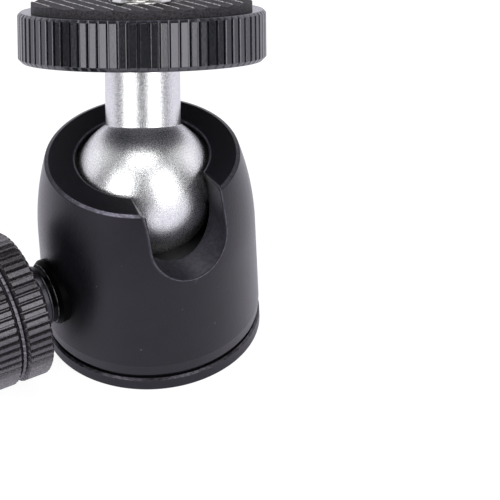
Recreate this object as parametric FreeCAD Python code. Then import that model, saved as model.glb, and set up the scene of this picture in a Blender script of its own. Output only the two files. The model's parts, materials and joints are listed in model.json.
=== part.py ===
"""Mini ball head: a turned housing holds a ball on a stem, a side knob clamps the ball, and a
knurled lock ring with a rubber pad and a 1/4 inch screw carries the camera.

The frame: origin at the centre of the base's underside, +Z up the housing's axis.
The notch in the housing's wall faces -Y and the clamp knob points to -X.
The stem is modelled as photographed, leaning against its stop. Lengths are in millimetres,
angles in degrees.
"""
import FreeCAD, Part
import math
import os
from FreeCAD import Placement, Rotation, Vector

# Clearances that several pieces share
running_gap = 0.05        # radial play of a running fit
seat_gap = 0.02           # play of pieces that are pressed, screwed or laid together
overrun = 1.0             # how far a cutter passes the surface it cuts

# Ball, stem and the lean it is photographed at
ball_radius = 11.0
stem_radius = 5.77
stem_reach = 19.05        # ball centre to the stem's shoulder
stem_shoulder_chamfer = 0.25
lean_azimuth = 59.4       # direction of the lean, from +X towards +Y
spigot_radius = 4.0       # threaded end of the stem, inside the lock ring
stem_stop_gap = 0.1       # left between the leaning stem and the mouth's edge

# Clamp screw, M5, and its conical tip
clamp_screw_radius = 2.45
clamp_screw_lead = 0.8
clamp_turns = 1.5         # turns from clamped to loose
cone_half_angle = 20.0
cone_tip_radius = 0.9
cone_start_inset = 1.85   # cone's start, measured in from the housing's bore
hex_head_flats = 8.0
hex_head_height = 3.5

# Knob
knob_radius = 11.5
knob_floor_gap = 1.78     # knob's lowest point above the underside of the base
knob_band_width = 4.4     # one knurled band with its chamfer
knob_ring_groove_width = 0.9
knob_ring_groove_depth = 0.62
knob_edge_chamfer = 0.4
knob_groove_chamfer = 0.3
knob_tooth_count = 54
knob_tooth_depth = 0.42
knob_tooth_phase = 0.36
knob_nose_radius = 4.1
knob_nose_length = 1.93
knob_cap_radius = 8.0
knob_cap_thickness = 1.4
knob_cap_chamfer = 0.4

# Collar and washer on the screw, between the knob and the housing
collar_radius = 4.9
collar_width = 1.0
collar_round = 0.25
collar_washer_radius = 4.7
collar_washer_width = 0.3
bushing_to_washer = 0.75  # bare stretch of screw between the bushing and the washer

# Clamp bushing, pressed into the side of the housing
bushing_radius = 5.2
bushing_face_radius = 4.65
bushing_stand_out = 1.19  # how far the bushing's face stands out of the housing
bushing_cone_width = 0.72
bushing_head_depth = 2.6  # depth of its wide part below the housing's surface
bushing_tail_radius = 3.9
bushing_countersink = 0.7

# Housing
liner_wall = 0.4          # liner's thickness at the ball's widest circle
housing_wall = 5.38       # wall outside the bore
foot_bevel_height = 1.9   # slight taper at the foot
foot_bevel_inset = 0.2
dome_height = 13.35       # shoulder to rim
dome_inset = 1.78         # how much the dome draws in
rim_bevel_width = 0.6
rim_bevel_height = 0.27
rim_height_share = 0.518  # rim above the ball's centre, as a share of the ball's radius
mouth_edge_share = 0.4915 # mouth's narrow edge above the ball's centre, the same way
lip_underside_share = 0.445
mouth_flare = 0.25        # how much the mouth opens above its edge
mouth_ball_gap = 0.387    # between the ball and the lower edge of the mouth
notch_play = 0.47         # notch's half width beyond the stem's radius
notch_drop = 0.36         # notch's round end below the ball's centre
notch_chamfer = 0.3
liner_notch_play = 0.3
liner_start_share = 0.036 # liner's lower end above the ball's centre

# Base plate, its screws and its thread insert
base_side_height = 1.98
base_chamfer = 0.3
base_foot_chamfer = 0.3
seam_gap = 0.72           # shadow gap between base and housing
seam_inset = 0.9          # depth of that gap
spigot_plate_height = 1.6 # base's part inside the housing's bore
base_hub_height = 1.6
insert_radius = 4.76
camera_thread_radius = 3.175
base_screw_count = 3
base_screw_radius = 1.25
base_screw_head_radius = 2.35
base_screw_depth = 7.0    # tip of the base screws above the underside
base_screw_hex = 1.5
base_screw_hex_depth = 0.8

# Lifter, its guide pins, disc spring and lower cup
lifter_roof = 1.36        # lifter above the clamp screw
lifter_ball_gap = 0.36    # between the lifter's hole and the ball that dips into it
lifter_floor_gap = 0.5
channel_side_gap = 0.1
guide_pin_radius = 1.0
guide_pin_inset = 2.9     # pins' centres, measured in from the housing's bore
guide_pin_angle = 50.0    # from +X, one pin to each side
guide_pin_engagement = 2.3
guide_pin_end_gap = 0.3
spring_thickness = 0.35
spring_rise = 0.25        # height of the disc spring's cone
spring_hole_play = 0.27   # spring's hole beyond the edge of the cup's seat
cup_lip = 0.5             # cup below its seat
seat_start_share = 0.63   # radius where the cup's seat begins, by the ball's radius
cup_height = 2.5

# Lock ring, its washers, pad and camera screw
ring_radius = 19.02
ring_height = 7.81
ring_top_chamfer = 0.35
ring_bottom_chamfer = 0.7
ring_tooth_count = 76
ring_tooth_depth = 0.42
ring_tooth_phase = 2.98
ring_thread_lead = 1.0
ring_turns = 1.2          # turns from seated to fully raised
pad_radius = 16.93
pad_thickness = 1.1
pad_hole_radius = 5.0
friction_washer_thickness = 0.4
friction_washer_play = 0.1
stop_washer_radius = 4.4
stop_washer_sink = 0.43   # underside of the stop washer below the ring's top
screw_flange_radius = 4.5
screw_flange_thickness = 0.8
screw_flange_rise = 0.45  # top of the flange above the pad
screw_stand_out = 5.5     # camera screw above the pad
screw_tip_chamfer = 0.6
screw_shank_radius = 2.5
screw_shank_length = 8.0

# Knurl: flat lands with straight-sided grooves, as shares of one tooth's pitch
land_share = 0.66
groove_floor_share = 0.08


def cosd(angle):
    return math.cos(math.radians(angle))


def sind(angle):
    return math.sin(math.radians(angle))


def tand(angle):
    return math.tan(math.radians(angle))


# Derived sizes
ring_travel = ring_turns * ring_thread_lead
clamp_travel = clamp_turns * clamp_screw_lead
lifter_drop = clamp_travel * tand(cone_half_angle)

bore_radius = ball_radius + liner_wall
housing_radius = bore_radius + housing_wall
rim_radius = housing_radius - dome_inset
base_top = base_side_height + base_chamfer
foot_height = base_top + seam_gap
spigot_plate_top = foot_height + spigot_plate_height
base_hub_top = spigot_plate_top + base_hub_height
inner_radius = bore_radius - running_gap    # pieces that slide or turn in the bore

guide_pin_circle = bore_radius - guide_pin_inset
base_hub_radius = guide_pin_circle - guide_pin_radius - seat_gap
clamp_height = knob_radius + knob_floor_gap
lifter_bottom = base_hub_top + lifter_drop + lifter_floor_gap
lifter_top = clamp_height + clamp_screw_radius + lifter_drop + running_gap + lifter_roof
spring_top = lifter_top + spring_thickness + spring_rise
cup_bottom = spring_top + seat_gap
seat_radius = ball_radius + running_gap
seat_start_radius = seat_start_share * ball_radius
ball_height = cup_bottom + cup_lip + math.sqrt(seat_radius ** 2 - seat_start_radius ** 2)
cup_top = cup_bottom + cup_height
spring_hole_radius = seat_start_radius + spring_hole_play
lifter_hole_radius = math.sqrt(ball_radius ** 2 - (ball_height - lifter_top) ** 2) + lifter_ball_gap

rim_height = ball_height + rim_height_share * ball_radius
mouth_edge = mouth_edge_share * ball_radius
lip_underside = lip_underside_share * ball_radius
mouth_radius = math.sqrt(ball_radius ** 2 - lip_underside ** 2) + mouth_ball_gap
shoulder_height = rim_height - dome_height
notch_half_width = stem_radius + notch_play
notch_height = ball_height - notch_drop

# The stem leans until its side meets the mouth's edge
edge_distance = math.hypot(mouth_radius, mouth_edge)
edge_elevation = math.degrees(math.atan2(mouth_edge, mouth_radius))
lean_angle = math.degrees(math.acos((stem_radius + stem_stop_gap) / edge_distance)) - edge_elevation

ring_top = stem_reach + ring_height
pad_top = ring_top + pad_thickness
stop_washer_floor = ring_top - stop_washer_sink
screw_flange_top = pad_top + screw_flange_rise
stop_washer_top = screw_flange_top - screw_flange_thickness
ring_counterbore_floor = stop_washer_floor - ring_travel - friction_washer_play

bushing_face = housing_radius + bushing_stand_out
washer_start = bushing_face + bushing_to_washer
collar_start = washer_start + collar_washer_width + seat_gap
nose_start = collar_start + collar_width + seat_gap
knob_face = nose_start + knob_nose_length
knob_end = knob_face + 2 * knob_band_width + knob_ring_groove_width
hex_head_end = knob_end - knob_cap_thickness - seat_gap
hex_head_start = hex_head_end - hex_head_height
cone_start = bore_radius - cone_start_inset
cone_length = (clamp_screw_radius - cone_tip_radius) / tand(cone_half_angle)
cone_end = cone_start - cone_length


def outline(start, steps):
    """Closed wire in the radius-height plane. A step is an end point, or a middle and an end point."""
    edges = []
    here = Vector(start[0], 0, start[1])
    for step in steps:
        if isinstance(step[0], tuple):
            middle = Vector(step[0][0], 0, step[0][1])
            there = Vector(step[1][0], 0, step[1][1])
            edges.append(Part.Arc(here, middle, there).toShape())
        else:
            there = Vector(step[0], 0, step[1])
            edges.append(Part.makeLine(here, there))
        here = there
    first = Vector(start[0], 0, start[1])
    if here.distanceToPoint(first) > 0:
        edges.append(Part.makeLine(here, first))
    return Part.Wire(edges)


def turned(start, steps):
    """Solid turned about Z from an outline of radius and height."""
    face = Part.Face(outline(start, steps))
    return face.revolve(Vector(0, 0, 0), Vector(0, 0, 1), 360)


def tube(inner, outer, bottom, top):
    """Plain ring between two heights."""
    return turned((inner, bottom), [(outer, bottom), (outer, top), (inner, top)])


def rod(radius, bottom, top):
    return Part.makeCylinder(radius, top - bottom, Vector(0, 0, bottom))


def hex_prism(flats, bottom, top):
    """Six-sided prism across given flats."""
    corner = flats / 2 / cosd(30)
    points = [Vector(corner * cosd(60 * i), corner * sind(60 * i), bottom) for i in range(7)]
    return Part.Face(Part.makePolygon(points)).extrude(Vector(0, 0, top - bottom))


def toothed_blank(radius, depth, count, phase, bottom, top):
    """Prism with flat lands and grooves all round: each tooth is a land arc, two flanks and a floor."""
    pitch = 360 / count
    floor_radius = radius - depth
    half_land = pitch * land_share / 2
    half_floor = pitch * groove_floor_share / 2
    edges = []

    def at(r, angle):
        return Vector(r * cosd(angle), r * sind(angle), bottom)

    for i in range(count):
        middle = phase + i * pitch
        groove = middle + pitch / 2
        land_end = at(radius, middle + half_land)
        floor_start = at(floor_radius, groove - half_floor)
        floor_end = at(floor_radius, groove + half_floor)
        next_land = at(radius, middle + pitch - half_land)
        land_start = at(radius, middle - half_land)
        edges.append(Part.Arc(land_start, at(radius, middle), land_end).toShape())
        edges.append(Part.makeLine(land_end, floor_start))
        edges.append(Part.makeLine(floor_start, floor_end))
        edges.append(Part.makeLine(floor_end, next_land))
    return Part.Face(Part.Wire(edges)).extrude(Vector(0, 0, top - bottom))


def on_clamp_axis(shape):
    """Turn a piece built along Z so that its height runs out along the knob's axis."""
    shape.Placement = Placement(Vector(0, 0, clamp_height), Rotation(Vector(0, 0, 1), Vector(-1, 0, 0)))
    return shape


def on_stem_axis(shape):
    """Lean a piece built about the ball's centre as the stem leans."""
    axis = Vector(-sind(lean_azimuth), cosd(lean_azimuth), 0)
    shape.Placement = Placement(Vector(0, 0, ball_height), Rotation(axis, lean_angle))
    return shape


def notch_cutter(half_width):
    """U-shaped slot that runs out of the housing towards -Y, with a round lower end."""
    reach = housing_radius + overrun
    round_end = Part.makeCylinder(half_width, reach, Vector(0, -reach, notch_height), Vector(0, 1, 0))
    height = rim_height + overrun - notch_height
    straight = Part.makeBox(2 * half_width, reach, height, Vector(-half_width, -reach, notch_height))
    return round_end.fuse(straight).removeSplitter()


def arc_through(radius, centre_radius, centre_height, height):
    """Point at a height on an arc of a radius about a centre, on the side away from the axis."""
    rise = height - centre_height
    return (centre_radius + math.sqrt(radius ** 2 - rise ** 2), height)


def make_housing():
    dome_end = rim_height - rim_bevel_height
    rise = dome_end - shoulder_height
    dome_radius = (dome_inset ** 2 + rise ** 2) / (2 * dome_inset)
    dome_centre = housing_radius - dome_radius
    dome_middle = arc_through(dome_radius, dome_centre, shoulder_height, shoulder_height + rise / 2)
    lip_height = ball_height + lip_underside
    edge_height = ball_height + mouth_edge
    body = turned((bore_radius, foot_height), [
        (housing_radius - foot_bevel_inset, foot_height),
        (housing_radius, foot_height + foot_bevel_height),
        (housing_radius, shoulder_height),
        (dome_middle, (rim_radius, dome_end)),
        (rim_radius - rim_bevel_width, rim_height),
        (mouth_radius + mouth_flare, rim_height),
        (mouth_radius, edge_height),
        (mouth_radius, lip_height),
        (bore_radius, lip_height),
    ])
    body = body.cut(notch_cutter(notch_half_width))
    body = chamfer_notch(body)
    seat = rod(bushing_radius, housing_radius - bushing_head_depth, housing_radius + overrun)
    tail = rod(bushing_tail_radius, 0, housing_radius)
    body = body.cut(on_clamp_axis(seat.fuse(tail)))
    for angle in base_screw_angles():
        hole = rod(base_screw_radius + seat_gap, 0, base_screw_depth + base_screw_radius)
        hole.translate(screw_place(angle))
        body = body.cut(hole)
    return body


def chamfer_notch(body):
    """Break the edges where the notch meets the housing's outside."""
    chosen = []
    for edge in body.Edges:
        point = edge.valueAt((edge.FirstParameter + edge.LastParameter) / 2)
        outside = math.hypot(point.x, point.y)
        on_side = abs(abs(point.x) - notch_half_width) < seat_gap
        below = point.z < notch_height
        on_round = below and abs(math.hypot(point.x, point.z - notch_height) - notch_half_width) < seat_gap
        if point.y < 0 and (on_side or on_round) and outside > rim_radius - rim_bevel_width:
            chosen.append(edge)
    return body.makeChamfer(notch_chamfer, chosen)


def base_screw_angles():
    return [360 / base_screw_count * i for i in range(base_screw_count)]


def screw_place(angle):
    circle = bore_radius + housing_wall / 2
    return Vector(circle * cosd(angle), circle * sind(angle), 0)


def guide_pin_places():
    return [Vector(guide_pin_circle * cosd(side * guide_pin_angle),
                   guide_pin_circle * sind(side * guide_pin_angle), 0) for side in (-1, 1)]


def base_screw(gap):
    """Countersunk screw, or its hole when a gap is added all round."""
    cone_height = base_screw_head_radius - base_screw_radius
    return turned((0, 0), [
        (base_screw_head_radius + gap, 0),
        (base_screw_radius + gap, cone_height),
        (base_screw_radius + gap, base_screw_depth),
        (0, base_screw_depth),
    ])


def make_base_plate():
    body = turned((insert_radius + seat_gap, 0), [
        (housing_radius - base_foot_chamfer, 0),
        (housing_radius, base_foot_chamfer),
        (housing_radius, base_side_height),
        (housing_radius - base_chamfer, base_top),
        (housing_radius - seam_inset, base_top),
        (housing_radius - seam_inset, foot_height),
        (inner_radius, foot_height),
        (inner_radius, spigot_plate_top),
        (base_hub_radius, spigot_plate_top),
        (base_hub_radius, base_hub_top),
        (insert_radius + seat_gap, base_hub_top),
    ])
    for angle in base_screw_angles():
        hole = base_screw(seat_gap)
        hole.translate(screw_place(angle))
        body = body.cut(hole)
    for place in guide_pin_places():
        hole = rod(guide_pin_radius + seat_gap, foot_height, spigot_plate_top + overrun)
        hole.translate(place)
        body = body.cut(hole)
    return body


def make_base_screws():
    screws = []
    for angle in base_screw_angles():
        screw = base_screw(0).cut(hex_prism(base_screw_hex, 0, base_screw_hex_depth))
        screw.translate(screw_place(angle))
        screws.append(screw)
    return Part.Compound(screws)


def make_base_thread_insert():
    return tube(camera_thread_radius, insert_radius, 0, base_hub_top)


def make_guide_pins():
    pins = []
    for place in guide_pin_places():
        pin = rod(guide_pin_radius, foot_height, lifter_bottom + guide_pin_engagement)
        pin.translate(place)
        pins.append(pin)
    return Part.Compound(pins)


def make_clamp_bushing():
    countersink = clamp_screw_radius + running_gap + bushing_countersink
    screw_hole = clamp_screw_radius + running_gap
    head_start = housing_radius - bushing_head_depth + seat_gap
    return on_clamp_axis(turned((screw_hole, bore_radius), [
        (bushing_tail_radius - seat_gap, bore_radius),
        (bushing_tail_radius - seat_gap, head_start),
        (bushing_radius - seat_gap, head_start),
        (bushing_radius - seat_gap, bushing_face - bushing_cone_width),
        (bushing_face_radius, bushing_face),
        (countersink, bushing_face),
        (screw_hole, bushing_face - bushing_countersink),
    ]))


def make_upper_liner():
    start = liner_start_share * ball_radius
    end = lip_underside - seat_gap
    middle = (start + end) / 2
    outer = bore_radius - seat_gap

    def on_ball(height):
        return arc_through(seat_radius, 0, 0, height)

    body = turned(on_ball(start), [
        (outer, start),
        (outer, end),
        on_ball(end),
        (on_ball(middle), on_ball(start)),
    ])
    body.translate(Vector(0, 0, ball_height))
    return body.cut(notch_cutter(notch_half_width + liner_notch_play))


def make_lifter():
    """Ring under the ball. Its roof slopes over the clamp screw's cone, so that the screw lifts it."""
    body = tube(lifter_hole_radius, inner_radius, lifter_bottom, lifter_top)
    wide = clamp_screw_radius + lifter_drop + running_gap
    near = clamp_screw_radius + running_gap
    slope_end = near - (near - running_gap) / 2
    slope_length = (near - slope_end) / tand(cone_half_angle)
    inner_end = cone_start - slope_length
    channel = on_clamp_axis(turned((0, 0), [
        (slope_end, 0),
        (slope_end, inner_end),
        (near, cone_start),
        (wide, cone_start),
        (wide, bore_radius + overrun),
        (0, bore_radius + overrun),
    ]))
    half = clamp_screw_radius + lifter_drop + channel_side_gap
    corners = [(0, -half), (-bore_radius - overrun, -half), (-bore_radius - overrun, half), (0, half)]
    bottom = lifter_bottom - overrun
    points = [Vector(x, y, bottom) for x, y in corners + corners[:1]]
    slot = Part.Face(Part.makePolygon(points)).extrude(Vector(0, 0, clamp_height - bottom))
    body = body.cut(channel.fuse(slot))
    for place in guide_pin_places():
        end = lifter_bottom + guide_pin_engagement + lifter_drop + guide_pin_end_gap
        hole = rod(guide_pin_radius + running_gap, lifter_bottom - overrun, end)
        hole.translate(place)
        body = body.cut(hole)
    return body


def make_disc_spring():
    """Shallow conical ring that presses the cup against the ball when the clamp is loose."""
    low = lifter_top + seat_gap
    outer = inner_radius - running_gap
    return turned((spring_hole_radius, low + spring_rise), [
        (outer, low),
        (outer, low + spring_thickness - seat_gap),
        (spring_hole_radius, spring_top - seat_gap),
    ])


def make_lower_cup():
    seat_end = math.sqrt(seat_radius ** 2 - (ball_height - cup_top) ** 2)
    seat_low = cup_bottom + cup_lip
    middle_height = (seat_low + cup_top) / 2
    middle_radius = math.sqrt(seat_radius ** 2 - (ball_height - middle_height) ** 2)
    return turned((seat_start_radius, cup_bottom), [
        (inner_radius, cup_bottom),
        (inner_radius, cup_top),
        (seat_end, cup_top),
        ((middle_radius, middle_height), (seat_start_radius, seat_low)),
    ])


def make_ball_stem():
    junction = math.sqrt(ball_radius ** 2 - stem_radius ** 2)
    hole_floor = stop_washer_floor - screw_shank_length
    return on_stem_axis(turned((0, -ball_radius), [
        ((ball_radius, 0), (stem_radius, junction)),
        (stem_radius, stem_reach - stem_shoulder_chamfer),
        (stem_radius - stem_shoulder_chamfer, stem_reach),
        (spigot_radius, stem_reach),
        (spigot_radius, stop_washer_floor),
        (screw_shank_radius + seat_gap, stop_washer_floor),
        (screw_shank_radius + seat_gap, hole_floor),
        (0, hole_floor),
    ]))


def make_friction_washer():
    start = stem_reach + seat_gap
    washer_top = start + friction_washer_thickness
    outer = stem_radius - friction_washer_play
    return on_stem_axis(tube(spigot_radius + running_gap, outer, start, washer_top))


def make_lock_ring():
    """Knurled disc. Its bore turns on the spigot, with a recess above for the stop washer."""
    pocket = stem_radius + friction_washer_play
    pocket_top = stem_reach + friction_washer_thickness + 2 * seat_gap
    shape = turned((pocket, stem_reach), [
        (ring_radius - ring_bottom_chamfer, stem_reach),
        (ring_radius, stem_reach + ring_bottom_chamfer),
        (ring_radius, ring_top - ring_top_chamfer),
        (ring_radius - ring_top_chamfer, ring_top),
        (pad_hole_radius, ring_top),
        (pad_hole_radius, ring_counterbore_floor),
        (spigot_radius + running_gap, ring_counterbore_floor),
        (spigot_radius + running_gap, pocket_top),
        (pocket, pocket_top),
    ])
    blank = toothed_blank(ring_radius, ring_tooth_depth, ring_tooth_count, ring_tooth_phase,
                          stem_reach - overrun, ring_top + overrun)
    return on_stem_axis(blank.common(shape))


def make_rubber_pad():
    return on_stem_axis(tube(pad_hole_radius, pad_radius, ring_top, pad_top))


def make_stop_washer():
    hole = screw_shank_radius + running_gap
    return on_stem_axis(tube(hole, stop_washer_radius, stop_washer_floor, stop_washer_top))


def make_camera_screw():
    shank_end = stop_washer_floor - screw_shank_length + seat_gap
    tip = pad_top + screw_stand_out
    return on_stem_axis(turned((0, shank_end), [
        (screw_shank_radius, shank_end),
        (screw_shank_radius, stop_washer_top),
        (screw_flange_radius, stop_washer_top),
        (screw_flange_radius, screw_flange_top),
        (camera_thread_radius, screw_flange_top),
        (camera_thread_radius, tip - screw_tip_chamfer),
        (camera_thread_radius - screw_tip_chamfer, tip),
        (0, tip),
    ]))


def make_clamp_screw():
    shank = turned((0, cone_end), [
        (cone_tip_radius, cone_end),
        (clamp_screw_radius, cone_start),
        (clamp_screw_radius, hex_head_start + seat_gap),
        (0, hex_head_start + seat_gap),
    ])
    head = hex_prism(hex_head_flats - seat_gap, hex_head_start, hex_head_end)
    return on_clamp_axis(shank.fuse(head).removeSplitter())


def make_collar_washer():
    hole = clamp_screw_radius + running_gap
    return on_clamp_axis(tube(hole, collar_washer_radius, washer_start, washer_start + collar_washer_width))


def make_thrust_collar():
    end = collar_start + collar_width
    hole = clamp_screw_radius + running_gap
    return on_clamp_axis(turned((hole, collar_start), [
        (collar_radius - collar_round, collar_start),
        (collar_radius, collar_start + collar_round),
        (collar_radius, end - collar_round),
        (collar_radius - collar_round, end),
        (hole, end),
    ]))


def make_knob_body():
    """Knob with two knurled bands, a plain ring groove between them and a hexagon pocket."""
    groove_start = knob_face + knob_band_width
    groove_end = groove_start + knob_ring_groove_width
    groove_radius = knob_radius - knob_ring_groove_depth
    bevel = knob_groove_chamfer
    pocket_start = hex_head_start - seat_gap
    recess = knob_cap_radius + seat_gap
    hole = clamp_screw_radius + seat_gap
    recess_floor = knob_end - knob_cap_thickness
    shape = turned((hole, nose_start), [
        (knob_nose_radius, nose_start),
        (knob_nose_radius, knob_face),
        (knob_radius - knob_edge_chamfer, knob_face),
        (knob_radius, knob_face + knob_edge_chamfer),
        (knob_radius, groove_start - bevel),
        (groove_radius, groove_start),
        (groove_radius, groove_end),
        (knob_radius, groove_end + bevel),
        (knob_radius, knob_end - knob_edge_chamfer),
        (knob_radius - knob_edge_chamfer, knob_end),
        (recess, knob_end),
        (recess, recess_floor),
        (hole, recess_floor),
    ])
    blank = toothed_blank(knob_radius, knob_tooth_depth, knob_tooth_count, knob_tooth_phase,
                          nose_start - overrun, knob_end + overrun)
    pocket = hex_prism(hex_head_flats + seat_gap, pocket_start, recess_floor + overrun)
    return on_clamp_axis(blank.common(shape).cut(pocket))


def make_knob_cap():
    start = knob_end - knob_cap_thickness
    return on_clamp_axis(turned((0, start), [
        (knob_cap_radius, start),
        (knob_cap_radius, knob_end - knob_cap_chamfer),
        (knob_cap_radius - knob_cap_chamfer, knob_end),
        (0, knob_end),
    ]))


pieces = {
    "housing": make_housing,
    "base_plate": make_base_plate,
    "base_thread_insert": make_base_thread_insert,
    "base_screws": make_base_screws,
    "guide_pins": make_guide_pins,
    "clamp_bushing": make_clamp_bushing,
    "upper_liner": make_upper_liner,
    "lifter": make_lifter,
    "disc_spring": make_disc_spring,
    "lower_cup": make_lower_cup,
    "ball_stem": make_ball_stem,
    "friction_washer": make_friction_washer,
    "lock_ring": make_lock_ring,
    "rubber_pad": make_rubber_pad,
    "stop_washer": make_stop_washer,
    "camera_screw": make_camera_screw,
    "clamp_screw": make_clamp_screw,
    "collar_washer": make_collar_washer,
    "thrust_collar": make_thrust_collar,
    "knob_body": make_knob_body,
    "knob_cap": make_knob_cap,
}

os.makedirs("parts", exist_ok=True)
for name, make in pieces.items():
    shape = make()
    shape.exportStep("parts/" + name + ".step")
    print(name, "solids", len(shape.Solids), "valid", shape.isValid(), "volume", round(shape.Volume, 1))
print("ball height", round(ball_height, 3), "rim height", round(rim_height, 3))
print("mouth radius", round(mouth_radius, 3), "lean", round(lean_angle, 3))
print("knob from", round(knob_face, 2), "to", round(knob_end, 2))
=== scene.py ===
"""Mini ball head, dressed for its picture.

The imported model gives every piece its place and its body. Here the pieces that show get their
finished surfaces: rounded edges, knurls, threads and ribs. Every piece gets its material.
Lengths are in millimetres until a mesh is made.
"""

import json
import math

import bpy
import numpy as np
from mathutils import Matrix


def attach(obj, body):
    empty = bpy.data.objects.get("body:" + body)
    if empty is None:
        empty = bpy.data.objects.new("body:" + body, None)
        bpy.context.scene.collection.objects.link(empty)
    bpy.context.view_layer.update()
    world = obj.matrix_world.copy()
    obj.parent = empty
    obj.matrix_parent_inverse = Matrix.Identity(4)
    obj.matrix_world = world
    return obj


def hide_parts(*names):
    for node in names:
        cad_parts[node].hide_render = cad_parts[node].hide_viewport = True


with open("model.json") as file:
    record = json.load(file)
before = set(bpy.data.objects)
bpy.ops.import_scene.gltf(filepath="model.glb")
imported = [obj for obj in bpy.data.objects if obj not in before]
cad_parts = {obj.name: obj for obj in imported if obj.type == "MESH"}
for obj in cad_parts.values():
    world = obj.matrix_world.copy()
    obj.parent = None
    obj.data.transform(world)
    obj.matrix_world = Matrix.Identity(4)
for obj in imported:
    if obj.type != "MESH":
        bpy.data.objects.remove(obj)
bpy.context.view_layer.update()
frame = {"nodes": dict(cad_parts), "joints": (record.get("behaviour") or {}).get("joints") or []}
nodes = frame["nodes"]
joints = {joint["name"]: joint for joint in frame["joints"]}

MM = 0.001

# Meshes: columns round a turned piece, and the angles in degrees from which edges stay sharp
COLUMNS, HOUSING_COLUMNS, SCREW_COLUMNS, HOLE_COLUMNS = 192, 240, 96, 48
SHARP_ANGLE, KNURL_SHARP_ANGLE = 30.0, 20.0
WELD_DIGITS = 5
# Corners flatter than this half angle in degrees stay, and a rounding takes at most this share of a side
NEARLY_STRAIGHT = 89.0
ROUNDING_SHARE = 0.45
# Margin that keeps a comparison off a corner
HAIR = 0.02

# Finishes: ranges of a noise that are spread over the whole of a change
GRAIN_RANGE = (0.3, 0.7)
DRIFT_RANGE = (0.35, 0.65)
PATCH_RANGE = (0.44, 0.56)
# Distances from a Voronoi point, in cells, over which a speck ends
SPECK_RANGE = (0.018, 0.035)
SPECK_SPACING = 3.4
# Octaves of every noise, and how rough the finer ones of the grain are
NOISE_DETAIL = 3.0
GRAIN_ROUGHNESS = 0.65
# Part of the fine grain in the height of a dented surface
DENT_GRAIN = 0.8
# Index of the thin seal over anodising, lower than of a lacquer, so that its sheen stays faint
SEAL_IOR = 1.2
LILAC_GLOSS = "#f2ecff"

# Places that the frame gives
BALL_CENTRE = np.array(joints["tilt"]["pos_m"]) / MM
STEM_AXIS = np.array(joints["ring_turn"]["axis"])
TILT_AXIS = np.array(joints["tilt"]["axis"])
KNOB_HEIGHT = joints["knob_turn"]["pos_m"][2] / MM

# Edge breaks that several pieces share
FINE_EDGE = 0.03
SOFT_EDGE = 0.08
# Width of a painted highlight along an edge, and of the rows that carry it on the housing
HIGHLIGHT_WIDTH = 0.16

# Housing
HOUSING_RADIUS = 16.78
BORE_RADIUS = 11.4
HOUSING_FOOT = 3.0
FOOT_INSET = 0.2
FOOT_BEVEL_TOP = 4.9
SHOULDER_HEIGHT = 19.652
RIM_RADIUS = 15.0
RIM_BEVEL_WIDTH = 0.6
RIM_BEVEL_HEIGHT = 32.732
RIM_HEIGHT = 33.002
MOUTH_RADIUS = 10.238
MOUTH_FLARE = 0.25
MOUTH_EDGE_HEIGHT = 32.71
LIP_HEIGHT = 32.199
NOTCH_HALF = 6.24
NOTCH_HEIGHT = 26.944
FOOT_ROUND = 0.12
FOOT_BEVEL_ROUND = 0.5
RIM_ROUND = 0.12
FLAT_ROUND = 0.15
MOUTH_ROUND = 0.1
# Rows of the housing's mesh
PLAIN_ROWS, NOTCH_ROWS, DOME_ROWS, CORNER_ROWS = 5, 25, 16, 6
CORNER_FIRST_ANGLE = 0.3
ROW_MARGIN = 0.03
BORE_ROWS_ABOVE = (31, 29.5, 28)
BORE_ROWS_BELOW = (16, 12, 8)
# Edges of the notch: chamfer on the wall, wider near the rim on the left, and fine ones elsewhere
NOTCH_CHAMFER = 0.22
RIM_EDGE = 0.5
RIM_EDGE_REACH = 4.5
BORE_EDGE = FLAT_EDGE = 0.05
# Corners of the notch at the rim and at the mouth. The right one has a smaller share of the rounding.
TOP_CORNER = 0.45
TOP_CORNER_FADE = 1.5
RIGHT_CORNER_SHARE = 0.4
MOUTH_CORNER = 0.4
# The chamfer's section, from the wall's surface (1) to the notch's side (0), with rounded corners:
# place across, depth, and its share of wear and painted highlight
CHAMFER_ACROSS = (1, 0.93, 0.82, 0.5, 0.18, 0.07, 0)
CHAMFER_DEPTH = (0, 0.03, 0.1, 0.42, 0.8, 0.92, 1)
CHAMFER_WEAR_AND_HIGHLIGHT = (0.2, 0.55, 0.2, 0, 0, 0, 0)
# Faint painted sheen on the notch's walls, partly the machined metal under the thin black
WALL_SHEEN = 0.1
# Painted highlight along the mouth's edge
MOUTH_HIGHLIGHT = 0.4
# Painted highlight on the rim bevel, from the notch's right side round to its left, cut to its least and to
# 1
BEVEL_HIGHLIGHT = 0.8
BEVEL_HIGHLIGHT_RAMP = (-6.5, 1.6)
BEVEL_HIGHLIGHT_LEAST = 0.15
BEVEL_FADE_COLUMNS = 4
BEVEL_MARGIN = 0.1
OUTSIDE_INSET = 0.8
OUTSIDE_RISE = 0.5

# Base plate
BASE_SIDE = 1.98
BASE_CHAMFER = 0.3
SEAM_RADIUS = 15.88
SPIGOT_RADIUS = 11.35
SPIGOT_TOP = 4.6
HUB_RADIUS = 7.48
HUB_TOP = 6.2
INSERT_HOLE = 4.78
SCREW_CIRCLE = 14.09
SCREW_HEAD_RADIUS = 2.37
SCREW_HOLE_RADIUS = 1.27
SCREW_COUNT = 3
# A painted highlight lies on the chamfer within this share of its width from its middle
BASE_HIGHLIGHT_SHARE = 0.76
CUT_MARGIN = 0.5

# Ball and stem, along the stem from the ball's centre
BALL_RADIUS = 11.0
STEM_RADIUS = 5.77
STEM_SHOULDER = 0.25
SPIGOT_END = 26.43
STEM_BORE = 2.52
STEM_BORE_FLOOR = 18.43
STEM_SPIGOT = 4.0
BALL_STEPS = 97

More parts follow.
